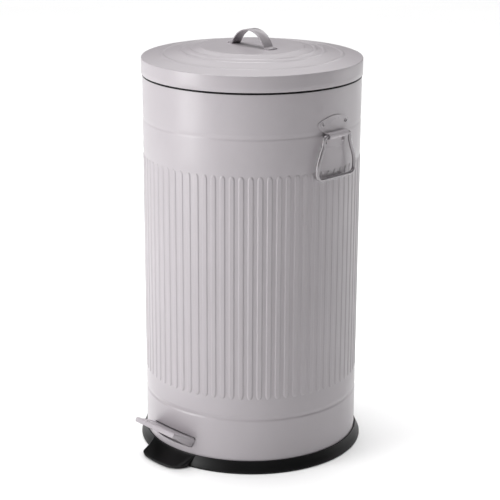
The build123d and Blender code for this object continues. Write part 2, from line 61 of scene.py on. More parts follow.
def noise_tex(nt, coord, scale, detail=2.0, rough=0.5):
    n = node(nt, "ShaderNodeTexNoise")
    n.inputs["Scale"].default_value = scale
    n.inputs["Detail"].default_value = detail
    n.inputs["Roughness"].default_value = rough
    nt.links.new(coord, n.inputs["Vector"])
    return n


def ramp(nt, fac, stops):
    r = node(nt, "ShaderNodeValToRGB")
    els = r.color_ramp.elements
    while len(els) > 1:
        els.remove(els[-1])
    els[0].position = stops[0][0]
    els[0].color = stops[0][1]
    for p, c in stops[1:]:
        e = els.new(p)
        e.color = c
    nt.links.new(fac, r.inputs["Fac"])
    return r


def grey(v):
    return (v, v, v, 1.0)


def bump(nt, bsdf, height, strength, distance, under=None):
    b = node(nt, "ShaderNodeBump")
    b.inputs["Strength"].default_value = strength
    b.inputs["Distance"].default_value = distance
    nt.links.new(height, b.inputs["Height"])
    if under is not None:
        nt.links.new(under.outputs["Normal"], b.inputs["Normal"])
    nt.links.new(b.outputs["Normal"], bsdf.inputs["Normal"])
    return b


def paint_material(name, rgb, rough=0.40, spread=0.05, coat=0.06, coat_rough=0.22, gloss=0.5, metal=0.0):
    """Satin powder paint: faint cloudiness, fine orange peel, a little dull dust."""
    m, nt, bsdf = principled(name)
    co = node(nt, "ShaderNodeTexCoord").outputs["Object"]
    clouds = noise_tex(nt, co, 7.0, 3.0, 0.55)
    speck = noise_tex(nt, co, 900.0, 2.0, 0.6)
    lo = tuple(c * 0.965 for c in rgb) + (1.0,)
    hi = tuple(min(1.0, c * 1.025) for c in rgb) + (1.0,)
    base = ramp(nt, clouds.outputs["Fac"], [(0.30, lo), (0.70, hi)])
    grain = ramp(nt, speck.outputs["Fac"], [(0.30, grey(0.975)), (0.72, grey(1.0))])
    mix = node(nt, "ShaderNodeMix", data_type="RGBA", blend_type="MULTIPLY")
    mix.inputs["Factor"].default_value = 1.0
    nt.links.new(base.outputs["Color"], mix.inputs["A"])
    nt.links.new(grain.outputs["Color"], mix.inputs["B"])
    nt.links.new(mix.outputs["Result"], bsdf.inputs["Base Color"])
    patches = noise_tex(nt, co, 22.0, 4.0, 0.6)
    r = ramp(nt, patches.outputs["Fac"], [(0.25, grey(rough - spread)), (0.75, grey(rough + spread))])
    nt.links.new(r.outputs["Color"], bsdf.inputs["Roughness"])
    peel = noise_tex(nt, co, 420.0, 2.0, 0.5)
    bump(nt, bsdf, peel.outputs["Fac"], 0.10, 0.0004)
    bsdf.inputs["Specular IOR Level"].default_value = gloss
    bsdf.inputs["Metallic"].default_value = metal
    bsdf.inputs["Coat Weight"].default_value = coat
    bsdf.inputs["Coat Roughness"].default_value = coat_rough
    return m


def plastic_material(name, rgb, rough, grain_scale=1500.0, grain=0.12, gloss=0.5):
    """Moulded black plastic: fine spark-eroded grain and slightly uneven gloss."""
    m, nt, bsdf = principled(name)
    co = node(nt, "ShaderNodeTexCoord").outputs["Object"]
    clouds = noise_tex(nt, co, 14.0, 3.0, 0.6)
    base = ramp(nt, clouds.outputs["Fac"], [
        (0.3, tuple(c * 0.8 for c in rgb) + (1.0,)), (0.7, tuple(c * 1.2 for c in rgb) + (1.0,))])
    nt.links.new(base.outputs["Color"], bsdf.inputs["Base Color"])
    r = ramp(nt, clouds.outputs["Fac"], [(0.25, grey(rough - 0.05)), (0.75, grey(rough + 0.06))])
    nt.links.new(r.outputs["Color"], bsdf.inputs["Roughness"])
    g = noise_tex(nt, co, grain_scale, 2.0, 0.6)
    bump(nt, bsdf, g.outputs["Fac"], grain, 0.0003)
    bsdf.inputs["Specular IOR Level"].default_value = gloss
    return m


def metal_material(name, rgb, rough, stretch=(1.0, 1.0, 1.0), spangle=0.0):
    """Plated steel: drawn or rolled streaks, faint zinc bloom."""
    m, nt, bsdf = principled(name)
    co = node(nt, "ShaderNodeTexCoord").outputs["Object"]
    mp = node(nt, "ShaderNodeMapping")
    mp.inputs["Scale"].default_value = stretch
    nt.links.new(co, mp.inputs["Vector"])
    streak = noise_tex(nt, mp.outputs["Vector"], 260.0, 3.0, 0.6)
    bloom = noise_tex(nt, co, 45.0, 3.0, 0.6)
    base = ramp(nt, bloom.outputs["Fac"], [
        (0.3, tuple(c * 0.82 for c in rgb) + (1.0,)), (0.7, tuple(min(1, c * 1.06) for c in rgb) + (1.0,))])
    nt.links.new(base.outputs["Color"], bsdf.inputs["Base Color"])
    r = ramp(nt, streak.outputs["Fac"], [(0.3, grey(rough - 0.07)), (0.7, grey(rough + 0.10))])
    nt.links.new(r.outputs["Color"], bsdf.inputs["Roughness"])
    bump(nt, bsdf, streak.outputs["Fac"], 0.08, 0.0003)
    bsdf.inputs["Metallic"].default_value = 1.0
    return m


PAINT_RGB = (0.409, 0.380, 0.401)
paint = paint_material("satin_paint", PAINT_RGB, 0.32, 0.04)
paint_small = paint_material("satin_paint_fittings", tuple(c * 1.0 for c in PAINT_RGB), 0.28, 0.04)
# Wire paint: the body paint made darker (x0.66) as painted shade for the wire's dark sides, with more gloss, a clear
# coat and some metal.
wire_paint_and_painted_shade = paint_material("gloss_paint_wire", tuple(c * 0.66 for c in PAINT_RGB), 0.20, 0.03, 0.7, 0.12, 0.9, 0.40)
# Strap paint: the body paint made darker (x0.84) as painted shade for the strap's shadowed underside and legs.
strap_paint_and_painted_shade = paint_material("strap_satin_paint_and_painted_shade", tuple(c * 0.84 for c in PAINT_RGB), 0.24, 0.04)
base_black = plastic_material("base_plastic", (0.0045, 0.0045, 0.0047), 0.40, gloss=0.23)
rim_black = plastic_material("rim_plastic", (0.004, 0.004, 0.0042), 0.55, 2200.0, 0.06, 0.15)
bucket_black = plastic_material("bucket_plastic", (0.022, 0.022, 0.023), 0.38, 900.0, 0.10)
steel = metal_material("zinc_plated_steel", (0.56, 0.56, 0.57), 0.38, (1.0, 0.12, 1.0))
wire_steel = metal_material("plated_wire", (0.60, 0.60, 0.61), 0.30, (1.0, 1.0, 0.06))
bright = metal_material("bright_plated_fastener", (0.66, 0.66, 0.67), 0.26)
inside_paint = paint_material("inside_lacquer", (0.44, 0.43, 0.435), 0.45, 0.06)

# ------------------------------------------------------------- mesh utilities


def make(name, verts, faces, mat, body, nodes=(), slot=None, sharp=35.0, recalc=True):
    me = bpy.data.meshes.new(name)
    me.from_pydata((np.asarray(verts, float) * MM).tolist(), [], [list(map(int, f)) for f in faces])
    me.validate()
    if recalc:
        bm = bmesh.new()
        bm.from_mesh(me)
        bmesh.ops.recalc_face_normals(bm, faces=bm.faces)
        bm.to_mesh(me)
        bm.free()
    me.shade_smooth()
    me.set_sharp_from_angle(angle=math.radians(sharp))
    me.materials.append(mat)
    o = bpy.data.objects.new(name, me)
    scene.collection.objects.link(o)
    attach(o, body)
    if nodes:
        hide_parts(*nodes)
    return o


def lathe(profile, seg):
    """Closed (r, z) profile turned about Z. Points with r = 0 become poles."""
    verts, rings = [], []
    for r, z in profile:
        if r < 1e-6:
            rings.append([len(verts)] * seg)
            verts.append((0.0, 0.0, z))
        else:
            rings.append(list(range(len(verts), len(verts) + seg)))
            for k in range(seg):
                a = 2 * math.pi * k / seg
                verts.append((r * math.sin(a), -r * math.cos(a), z))
    faces = []
    n = len(rings)
    for i in range(n):
        a, b = rings[i], rings[(i + 1) % n]
        for k in range(seg):
            q = [a[k], a[(k + 1) % seg], b[(k + 1) % seg], b[k]]
            f = []
            for v in q:
                if v not in f:
                    f.append(v)
            if len(f) >= 3:
                faces.append(f)
    return verts, faces


def fillet_path(pts, radii, n=10):
    """Polyline with each inner corner rounded to its radius."""
    pts = [np.array(p, float) for p in pts]
    out = [pts[0]]
    for i in range(1, len(pts) - 1):
        a, b, c = pts[i - 1], pts[i], pts[i + 1]
        u = (a - b) / np.linalg.norm(a - b)
        v = (c - b) / np.linalg.norm(c - b)
        half = math.acos(max(-1.0, min(1.0, float(u @ v)))) / 2
        r = radii[i - 1]
        t = r / math.tan(half)
        w = (u + v) / np.linalg.norm(u + v)
        ctr = b + w * (r / math.sin(half))
        p0, p1 = b + u * t - ctr, b + v * t - ctr
        ang = math.pi - 2 * half
        for k in range(n + 1):
            s = k / n
            out.append(ctr + (math.sin((1 - s) * ang) * p0 + math.sin(s * ang) * p1) / math.sin(ang))
    out.append(pts[-1])
    return out


def tube(path, radius, seg=18, closed=False):
    """Round wire along a path, with flat ends."""
    p = np.array(path, float)
    n = len(p)
    if closed:
        tan = np.roll(p, -1, 0) - np.roll(p, 1, 0)
    else:
        tan = np.gradient(p, axis=0)
    tan /= np.linalg.norm(tan, axis=1)[:, None]
    up = np.array([0.0, 0.0, 1.0]) if abs(tan[0][2]) < 0.9 else np.array([1.0, 0.0, 0.0])
    nor = np.cross(tan[0], up)
    nor /= np.linalg.norm(nor)
    verts = []
    for i in range(n):
        nor = nor - tan[i] * (nor @ tan[i])
        nor /= np.linalg.norm(nor)
        bi = np.cross(tan[i], nor)
        for k in range(seg):
            a = 2 * math.pi * k / seg
            verts.append(p[i] + radius * (math.cos(a) * nor + math.sin(a) * bi))
    faces = []
    last = n if closed else n - 1
    for i in range(last):
        j = (i + 1) % n
        for k in range(seg):
            m = (k + 1) % seg
            faces.append([i * seg + k, i * seg + m, j * seg + m, j * seg + k])
    if not closed:
        faces.append(list(range(seg))[::-1])
        faces.append(list(range((n - 1) * seg, n * seg)))
    return verts, faces


def plate(grid, thick, offset=0.0):
    """Closed sheet of a thickness around a mid-surface grid (rows, columns, xyz)."""
    g = np.array(grid, float)
    du = np.gradient(g, axis=0)
    dv = np.gradient(g, axis=1)
    n = np.cross(du, dv)
    n /= np.linalg.norm(n, axis=2)[:, :, None] + 1e-12
    top, bot = g + n * (thick / 2 + offset), g - n * (thick / 2 - offset)
    R, C = g.shape[:2]
    verts = np.concatenate([top.reshape(-1, 3), bot.reshape(-1, 3)])
    N = R * C
    idx = lambda i, j: i * C + j
    faces = []
    for i in range(R - 1):
        for j in range(C - 1):
            a, b, c, d = idx(i, j), idx(i, j + 1), idx(i + 1, j + 1), idx(i + 1, j)
            faces.append([a, b, c, d])
            faces.append([N + d, N + c, N + b, N + a])
    rim = [idx(0, j) for j in range(C)] + [idx(i, C - 1) for i in range(1, R)]
    rim += [idx(R - 1, j) for j in range(C - 2, -1, -1)] + [idx(i, 0) for i in range(R - 2, 0, -1)]
    for k in range(len(rim)):
        a, b = rim[k], rim[(k + 1) % len(rim)]
        faces.append([a, N + a, N + b, b])
    return verts, faces


def join(*parts):
    verts, faces, n = [], [], 0
    for v, f in parts:
        verts.extend([tuple(map(float, p)) for p in v])
        faces.extend([[i + n for i in q] for q in f])
        n += len(v)
    return verts, faces


def soften(nname, mat, body, width=0.35, segs=2, angle=28.0):
    """A copy of a CAD node with its sharp edges eased."""
    src = NODES[nname]
    bm = bmesh.new()
    bm.from_mesh(src.data)
    bmesh.ops.remove_doubles(bm, verts=bm.verts, dist=2e-6)
    bmesh.ops.dissolve_limit(
        bm, angle_limit=math.radians(0.6), verts=bm.verts, edges=bm.edges)
    lim = math.radians(angle)
    edges = [e for e in bm.edges if len(e.link_faces) == 2 and e.calc_face_angle(0.0) > lim]
    bmesh.ops.bevel(
        bm, geom=edges, offset=width * MM, offset_type="OFFSET", segments=segs, profile=0.5,
        affect="EDGES", clamp_overlap=True)
    bmesh.ops.recalc_face_normals(bm, faces=bm.faces)
    me = bpy.data.meshes.new(nname + "_eased")
    bm.to_mesh(me)
    bm.free()
    me.shade_smooth()
    me.set_sharp_from_angle(angle=math.radians(40))
    me.materials.append(mat)
    o = bpy.data.objects.new(nname + "_eased", me)
    scene.collection.objects.link(o)
    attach(o, body)
    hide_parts(nname)
    return o


def finish_node(nname, mat):
    for s in NODES[nname].material_slots:
        s.material = mat


def smooth01(x):
    x = np.clip(x, 0.0, 1.0)
    return x * x * (3 - 2 * x)


# ------------------------------------------------------- body shell with ribs
R = 150.0
SHEET = 0.8
ribs, pitch = 75, 360.0 / 75
rib_h, rib_z0, rib_z1 = 0.95, 107.0, 416.6
offs = [-6.283, -5.0, -4.2, -3.8, -3.4, -3.0, -2.6, -2.1, -1.1, 0.0,
        1.1, 2.1, 2.6, 3.0, 3.4, 3.8, 4.2, 5.0]
cols, col_d = [], []
for k in range(ribs):
    for o in offs:
        cols.append((3.6 + pitch * (k - 38)) + math.degrees(o / 150.0))
        col_d.append(o)
cols, col_d = np.array(cols), np.array(col_d)
NC = len(cols)


SLOT_Z0, SLOT_Z1, SLOT_TOP = 25.3, 41.0, 44.7
SLOT_W0, SLOT_W1, SLOT_R = 37.2, 43.6, 1.6
slope = math.atan2(SLOT_Z1 - SLOT_Z0, SLOT_W1 - SLOT_W0)
tan_len = SLOT_R / math.tan((math.pi - slope) / 2)
fil_x, fil_z = SLOT_W0 - tan_len, SLOT_Z0 + SLOT_R
fil_top = SLOT_Z0 + tan_len * math.sin(slope)


def slot_half(z):
    z = min(max(z, SLOT_Z0), SLOT_Z1)
    if z < fil_top:
        return fil_x + math.sqrt(max(0.0, SLOT_R ** 2 - (z - fil_z) ** 2))
    return SLOT_W0 + (z - SLOT_Z0) * (SLOT_W1 - SLOT_W0) / (SLOT_Z1 - SLOT_Z0)


arc_r = (SLOT_W1 ** 2 + (SLOT_TOP - SLOT_Z1) ** 2) / (2 * (SLOT_TOP - SLOT_Z1))


def slot_lift(x):
    """Rise of the slot's arched top edge above its shoulders."""
    x = np.minimum(np.abs(x), SLOT_W1)
    return np.sqrt(arc_r ** 2 - x ** 2) - (arc_r - (SLOT_TOP - SLOT_Z1))


ref = int(np.argmin(abs(cols - 16.5)))
ref_l = int(np.argmin(abs(cols + 16.5)))
far = 26.0


def cols_at(z):
    """Column angles at a height, drawn to the slot's slanted ends."""
    w = 1.0 if z <= 42 else max(0.0, 1 - (z - 42) / 15.0)
    if w <= 0:
        return cols
    end = math.degrees(math.asin(slot_half(z) / R))
    out = cols.copy()
    for lo, hi, sgn in ((ref, cols[ref], 1), (ref_l, -cols[ref_l], -1)):
        a = sgn * cols
        m = (a >= 0) & (a <= hi)
        n = (a > hi) & (a < far)
        out[m] = sgn * a[m] * (end / hi)
        out[n] = sgn * (end + (a[n] - hi) * (far - end) / (far - hi))
    return w * out + (1 - w) * cols


def groove(z):
    """Rolled groove: a gentle run down from above and a shorter step out below."""
    d = 0.0
    for g, deep in ((76.6, 1.0), (467.0, 0.42)):
        d = max(d, deep * float(smooth01(1 - (z - g) / 6.0 if z > g else 1 + (z - g) / 3.0)))
    return d


def recess(z):
    """The ribbed band is drawn in a little, so that its crests end near the plain wall."""
    return 0.80 * float(smooth01((z - 95.0) / 16.0)) * float(smooth01((429.6 - z) / 16.0))


slot_rows = [SLOT_Z0 + (fil_top - SLOT_Z0) * t for t in (0.0, 0.02, 0.09, 0.22, 0.40, 0.66, 1.0)]
slot_rows += [29.5, 32.0, 34.5, 37.5, SLOT_Z1]
groove_rows = [-4.0, -3.0, -2.5, -2.0, -1.5, -1.0, -0.5, 0.0, 0.8, 1.6, 2.4, 3.2, 4.0, 4.8, 5.6, 6.2]
cap = [1.6 * c for c in (-1.2, -0.8, -0.4, 0.0, 0.4, 0.8, 1.2, 1.7, 2.3, 3.15, 4.2)]
rows_out = [13.3, 13.5, 18.0] + slot_rows + [50.0, 58.0, 66.0]
rows_out += [76.6 + g for g in groove_rows] + [90.0, 95.0, 97.5, 100.0, 103.0]
rows_out += [rib_z0 + c for c in cap] + [rib_z1 - c for c in reversed(cap)] + [420.6, 423.6, 426.6, 429.6, 445.0]
rows_out += [467.0 + g for g in groove_rows] + [490.0, 510.0, 525.1, 525.3]
rows_in = [13.3, 18.0] + slot_rows + [50.0, 58.0]
rows_in += [76.6 + g for g in groove_rows[1:-1:2]] + [95.0, 103.0, 111.0, 240.0, 413.6, 421.6, 429.6]
rows_in += [467.0 + g for g in groove_rows[1:-1:2]] + [525.3]


def rib(z):
    zz = np.clip(z, rib_z0 + 5.04, rib_z1 - 5.04)
    d = np.sqrt(col_d ** 2 + ((z - zz) / 1.6) ** 2)
    return rib_h * smooth01((3.95 - d) / (3.95 - 2.55))


def ring_verts(z, r):
    a = np.radians(cols_at(z))
    x, y = r * np.sin(a), -r * np.cos(a)
    zz = np.full(NC, z)
    if 30.0 < z < 62.0:
        w = min(1.0, max(0.0, (z - 37.0) / 3.0)) if z < SLOT_Z1 else max(0.0, 1 - (z - SLOT_Z1) / 18.0)
        zz = zz + w * np.where(y < 0, slot_lift(x), 0.0)
    return np.stack([x, y, zz], 1)


outer = [ring_verts(z, R - groove(z) - recess(z) + rib(z)) for z in rows_out]
inner = [ring_verts(z, np.full(NC, R - SHEET - groove(z) - 0.4 * recess(z))) for z in rows_in]
verts = np.concatenate(outer + inner)
off_in = len(rows_out) * NC
faces = []


def in_slot(rows, i, j):
    return rows[i] >= SLOT_Z0 - 0.01 and rows[i + 1] <= SLOT_Z1 + 0.01 and ref_l <= j < ref


for rows, off, flip in ((rows_out, 0, False), (rows_in, off_in, True)):
    for i in range(len(rows) - 1):
        for j in range(NC):
            if in_slot(rows, i, j):
                continue
            m = (j + 1) % NC
            q = [off + i * NC + j, off + i * NC + m, off + (i + 1) * NC + m, off + (i + 1) * NC + j]
            faces.append(q[::-1] if flip else q)
lo, li = 0, off_in
to, ti = (len(rows_out) - 1) * NC, off_in + (len(rows_in) - 1) * NC
for j in range(NC):
    m = (j + 1) % NC
    faces.append([lo + m, lo + j, li + j, li + m])
    faces.append([to + j, to + m, ti + m, ti + j])
so, si = rows_out.index(SLOT_Z0), rows_in.index(SLOT_Z0)
eo, ei = rows_out.index(SLOT_Z1), rows_in.index(SLOT_Z1)
for j in range(ref_l, ref):
    faces.append([so * NC + j, so * NC + j + 1, off_in + si * NC + j + 1, off_in + si * NC + j])
    faces.append([eo * NC + j + 1, eo * NC + j, off_in + ei * NC + j, off_in + ei * NC + j + 1])
for k in range(len(slot_rows) - 1):
    for j, flip in ((ref_l, False), (ref, True)):
        q = [(so + k) * NC + j, off_in + (si + k) * NC + j,
             off_in + (si + k + 1) * NC + j, (so + k + 1) * NC + j]
        faces.append(q[::-1] if flip else q)
body_obj = make("body_shell_ribbed", verts, faces, paint, "can", ["body_shell"], "body_paint", sharp=40, recalc=False)

# ------------------------------------------------------------------ rim trim
trim_pts = [(147.4, 514.3), (147.7, 514.0), (148.8, 514.0), (149.0, 514.2), (149.0, 525.4),
            (150.25, 525.4), (150.4, 525.55), (150.4, 527.2), (150.1, 527.5), (147.8, 527.5), (147.4, 527.1)]
make("rim_trim_band", *lathe(trim_pts, 288), rim_black, "can", ["rim_trim"], "rim_plastic")

# ----------------------------------------------------------------------- lid
PZ, BEAD = 563.55, 0.8
BEADS = (123.1, 97.9, 86.0)
CONE_R = [70.0, 72.6, 86.0, 97.9, 123.1, 149.6, 152.0]
CONE_Z = [562.75, 562.75, 560.3, 558.2, 553.75, 550.25, 550.25]


def bead(r):
    h = 0.0
    for c in BEADS:
        h += BEAD * float(smooth01(1 - abs(r - c) / 3.7))
    return h


corner = [math.radians(90.0 * k / 8) for k in range(9)]
top = []
rr = [148.5, 146.0, 142.0, 138.0, 132.0, 128.0]
for c, gap in zip(BEADS, ([113.0, 107.0, 103.0], [92.0], [79.0, 75.0, 73.2])):
    rr += [c + 3.7 - 0.37 * i for i in range(21)] + gap
for r in rr:
    top.append((r, float(np.interp(r, CONE_R, CONE_Z)) + bead(r)))
for k in range(9):
    u = k / 8
    top.append((72.6 - 2.6 * u, PZ - BEAD + BEAD * float(smooth01(u))))
top += [(66.0, PZ), (50.0, PZ), (25.0, PZ), (0.0, PZ)]
lid_out = [(150.75, 528.2), (151.2, 528.25), (151.4, 528.5), (151.4, 535.0), (151.4, 542.0)]
lid_out += [(149.75 + 1.65 * math.cos(a), 548.6 + 1.65 * math.sin(a)) for a in corner] + top
lid_in = [(150.6, 528.35), (150.6, 535.0), (150.6, 542.0)]
lid_in += [(149.75 + 0.85 * math.cos(a), 548.6 + 0.85 * math.sin(a)) for a in corner]
lid_in += [(r, z - 0.8) for r, z in top]
make("lid_dome", *lathe(lid_out + lid_in[::-1], 288), paint, "lid_assembly", ["lid"], "body_paint", sharp=45)

# ----------------------------------------------------------- lid strap handle
rise, half = 586.77 - PZ, 33.2
SR = (half ** 2 + rise ** 2) / (2 * rise)
zc, rm, rf = 586.77 - SR, SR - 0.75, 2.5
fx = math.sqrt((rm + rf) ** 2 - (PZ + 0.75 + rf - zc) ** 2)
fz = PZ + 0.75 + rf
path = []
for k in range(5):
    path.append((-42.6 + (42.6 - fx) * k / 4, PZ + 0.75))
a0, a1 = -90.0, math.degrees(math.atan2(zc - fz, fx))
for k in range(1, 9):
    a = math.radians(a0 + (a1 - a0) * k / 8)
    path.append((-fx + rf * math.cos(a), fz + rf * math.sin(a)))
m0 = math.degrees(math.atan2(fz - zc, -fx))
for k in range(1, 49):
    a = math.radians(m0 + (180 - m0 - m0) * k / 48)
    path.append((rm * math.cos(a), zc + rm * math.sin(a)))
path += [(-x, z) for x, z in path[:13][::-1]][1:]
path = np.array(path)
tan = np.gradient(path, axis=0)
tan /= np.linalg.norm(tan, axis=1)[:, None]
nor = np.stack([-tan[:, 1], tan[:, 0]], 1)
sec = []
HALF_STRAP = 8.5
for sy, sn in ((1, -1), (1, 1), (-1, 1), (-1, -1)):
    for k in range(4):
        a = math.radians({(1, -1): -90, (1, 1): 0, (-1, 1): 90, (-1, -1): 180}[(sy, sn)] + 30 * k)
        sec.append((sy * (HALF_STRAP - 0.45) + 0.45 * math.cos(a), sn * (0.75 - 0.45) + 0.45 * math.sin(a)))
verts = []
ends = np.minimum(np.cumsum(np.r_[0, np.linalg.norm(np.diff(path, axis=0), axis=1)]), 1e9)
total = ends[-1]
for i, (p, n) in enumerate(zip(path, nor)):
    e = min(ends[i], total - ends[i])
    w = 1.0 if e > 2.6 else (HALF_STRAP - 2.6 + math.sqrt(max(0.0, 2.6 ** 2 - (2.6 - e) ** 2))) / HALF_STRAP
    for y, h in sec:
        verts.append((p[0] + n[0] * h, y * w, p[1] + n[1] * h))
S = len(sec)
faces = []
for i in range(len(path) - 1):
    for k in range(S):
        m = (k + 1) % S
        faces.append([i * S + k, i * S + m, (i + 1) * S + m, (i + 1) * S + k])
faces.append(list(range(S)))
faces.append(list(range((len(path) - 1) * S, len(path) * S))[::-1])
make("lid_strap_handle", verts, faces, strap_paint_and_painted_shade, "lid_assembly", ["lid_handle"], "body_paint", sharp=50)

# ---------------------------------------------------------------------- base
RING = [(z, float(np.interp(z, [2.4, 6.0, 10.4, 14.2, 16.6], [158.1, 156.6, 154.4, 152.8, 151.9])))
        for z in (16.6, 16.2, 15.4, 14.2, 13.2, 12.2, 11.3, 10.4, 9.4, 8.4, 7.6, 6.8, 6.0, 5.3, 4.6, 4.0, 3.2, 2.4)]
RING += [(1.3, 158.05), (0.6, 157.7), (0.15, 157.2), (0.0, 156.6)]


def lobe_front(z):
    if z >= 4.6:
        return 152.6 + 26.8 * ((16.6 - z) / 12.0) ** 1.4
    return float(np.interp(z, [0.0, 0.15, 0.6, 1.3, 2.4, 3.6, 4.6], [177.0, 177.7, 178.7, 179.5, 179.95, 179.9, 179.4]))


def lobe_polar(phi, z):
    """Radius of the lobe's rounded outline at an angle from the front."""
    w = float(np.interp(z, [0.0, 0.6, 2.4, 4.6, 6.4, 8.4, 11.0, 13.8, 16.6],
                        [38.6, 39.5, 40.7, 41.3, 41.8, 42.4, 43.2, 44.2, 45.3]))
    rf_ = lobe_front(z)
    c = 26.0 - 1.45 * z
    s = abs(math.sin(math.radians(phi)))
    side = w / s if s > 1e-6 else 1e9
    # rounded corner: circle of radius c inside both the side line and the front arc
    cx = w - c
    cy = math.sqrt(max(0.0, (rf_ - c) ** 2 - cx ** 2))
    ca, cb = math.hypot(cx, cy), math.degrees(math.atan2(cx, cy))
    d = math.radians(abs(phi) - cb)
    q = c ** 2 - (ca * math.sin(d)) ** 2
    corner_lo = math.degrees(math.atan2(cx * rf_ / (rf_ - c), cy * rf_ / (rf_ - c)))
    corner_hi = math.degrees(math.atan2(w, cy))
    if abs(phi) <= corner_lo:
        return rf_
    if abs(phi) <= corner_hi and q > 0:
        return ca * math.cos(d) + math.sqrt(q)
    return side


phis = list(np.linspace(-11.0, 11.0, 89)) + list(np.linspace(11.1, 17.8, 68)) + [18.1, 18.5, 18.9]
phis += [20.3, 20.5] + [-20.3, -20.5]
phis += [-p for p in phis if 11.0 < p < 19.5]
phis += list(np.linspace(21.5, 338.5, 241))
phis = sorted(set(round(((p + 180) % 360) - 180, 5) for p in phis))
NP = len(phis)
verts, rings = [], []
for z, r0 in RING:
    ring_i = []
    for p in phis:
        r = r0
        if abs(p) < 19:
            r = max(r0, lobe_polar(p, z))
        ring_i.append(len(verts))
        a = math.radians(p)
        verts.append((r * math.sin(a), -r * math.cos(a), z))
    rings.append(ring_i)
for r, z in ((140.0, 0.0),):
    ring_i = []
    for p in phis:
        a = math.radians(p)
        ring_i.append(len(verts))
        verts.append((r * math.sin(a), -r * math.cos(a), z))
    rings.append(ring_i)
bottom = len(verts)
verts.append((0, 0, 0))
inner_prof = [(150.5, 16.6), (150.35, 16.45), (150.35, 13.2), (148.9, 13.2), (148.9, 21.6), (148.5, 22.0),
              (147.0, 22.0), (146.6, 21.6), (146.6, 4.0), (145.6, 3.0), (100.0, 3.0)]
in_rings = []
for r, z in inner_prof:
    ring_i = []
    for p in phis:
        a = math.radians(p)
        zz = min(z, 8.0) if 7.0 < z < 30.0 and r < 148.95 and abs(p) < 20.4 else z
        ring_i.append(len(verts))
        verts.append((r * math.sin(a), -r * math.cos(a), zz))
    in_rings.append(ring_i)
floor_c = len(verts)
verts.append((0, 0, 3.0))
faces = []
chain = in_rings[::-1] + rings
for a, b in zip(chain[:-1], chain[1:]):
    for k in range(NP):
        m = (k + 1) % NP
        faces.append([a[k], a[m], b[m], b[k]])
for k in range(NP):
    m = (k + 1) % NP
    faces.append([chain[0][m], chain[0][k], floor_c])
    faces.append([chain[-1][k], chain[-1][m], bottom])
make("base_moulding", verts, faces, base_black, "can", ["base"], "base_plastic", sharp=32)

# ------------------------------------------------------------- pedal tread
TILT = math.radians(25.5)
ct, st = math.cos(TILT), math.sin(TILT)


def tread(x, s, n):
    return (x, -150.0 - s * ct + n * st, 43.1 + s * st + n * ct)


TH, TT, RB, LEN = 40.6, 2.0, 2.6, 32.8
front = 30.2


def side_x(s, n):
    """Middle of the leaning side flange, which flares towards the wall."""
    return TH + (LEN - s) * 0.1345 + 0.6115 * n - 0.59 * TT


def flange_depth(s):
    return float(np.interp(s, [-14.0, -9.5, -6.5, -3.0, 4.0, 15.0, 26.0, LEN],
                           [10.0, 11.6, 12.6, 12.6, 11.7, 9.2, 6.8, 6.4]))


def section(kind, t, sg, s):
    """Across position and depth of a point of the folded section."""
    if kind == "f":
        n = -1.0 - RB - t * (flange_depth(s) - RB - 1.2)
        return sg * side_x(s, n), n
    if kind == "b":
        a, b, c = (side_x(s, -1.0) - RB, -1.0), (side_x(s, -1.0), -1.0), (side_x(s, -1.0 - RB), -1.0 - RB)
        q = [(1 - t) ** 2 * a[i] + 2 * t * (1 - t) * b[i] + t * t * c[i] for i in (0, 1)]
        return sg * q[0], q[1]
    return sg * t * (side_x(s, -1.0) - RB), -1.0


cross = [("f", 1 - k / 12, -1) for k in range(12)] + [("b", 1 - k / 6, -1) for k in range(6)]
cross += [("t", 1 - k / 12, -1) for k in range(12)] + [("t", k / 12, 1) for k in range(12)]
cross += [("b", k / 6, 1) for k in range(6)] + [("f", k / 12, 1) for k in range(13)]
grid = []
for v in np.linspace(0, 1, 24):
    row = []
    for kind, t, sg in cross:
        s0 = -4.0
        for _ in range(8):
            x, n = section(kind, t, sg, s0)
            s0 = (math.sqrt(151.75 ** 2 - x * x) - 150.0 + n * st) / ct
        s_ = s0 + v * (front - s0)
        x, n = section(kind, t, sg, s_)
        row.append(tread(x, s_, n))
    grid.append(row)
channel = plate(grid, TT)
lip = []
for k in range(18):
    row = []
    if k < 4:
        s, n = front - 3.0 + k, -TT / 2
    elif k < 11:
        a = math.radians(90 - 90 * (k - 3) / 7)
        s, n = front + 0.0 + 1.6 * math.cos(a), -TT / 2 - 1.6 + 1.6 * math.sin(a)
    else:
        s, n = front + 1.6, -TT / 2 - 1.6 - (k - 10) * (4.0 / 7)
    e = max(0.0, (k - 12) / 5)
    w = 38.2 + 2.3 * float(smooth01((k - 3) / 4)) - 2.0 * (1 - math.sqrt(max(0.0, 1 - e * e)))
    for x in np.linspace(-w, w, 25):
        row.append(tread(x, s, n))
    lip.append(row)
lip_part = plate(lip, TT * 0.98)
neck = []
for s in np.linspace(-31.4, 3.5, 8):
    neck.append([tread(x, s, -TT / 2) for x in np.linspace(-32.95, 32.95, 13)])
neck_part = plate(neck, TT * 0.96)
cheeks = []
for sx in (-32.0, 32.0):
    g = []
    for v in np.linspace(0, 1, 8):
        row = []
        for u in np.linspace(0, 1, 10):
            a = np.array(tread(sx, -11.4 - 17.5 * u, -1.0))
            b = np.array((sx, -142.95 + 17.4 * u, 20.05))
            row.append(tuple(a + (b - a) * v))
        g.append(row)
    cheeks.append(plate(g, TT * 0.96))
apron = []
for v in np.linspace(0, 1, 6):
    row = []
    for x in np.linspace(-32.6, 32.6, 25):
        y = -math.sqrt(143.1 ** 2 - x * x)
        z1 = 43.1 - (y + 150.0) * st / ct - 1.4
        row.append((x, y, 20.05 + v * (z1 - 20.05)))
    apron.append(row)
make("pedal_tread_folded", *join(channel, lip_part, neck_part, *cheeks, plate(apron, 1.75)), paint_small, "pedal_assembly", ["pedal_tread"],
     "body_paint", sharp=42)

# -------------------------------------------------------- carrying handles
CX, CZH = 155.0, 465.0


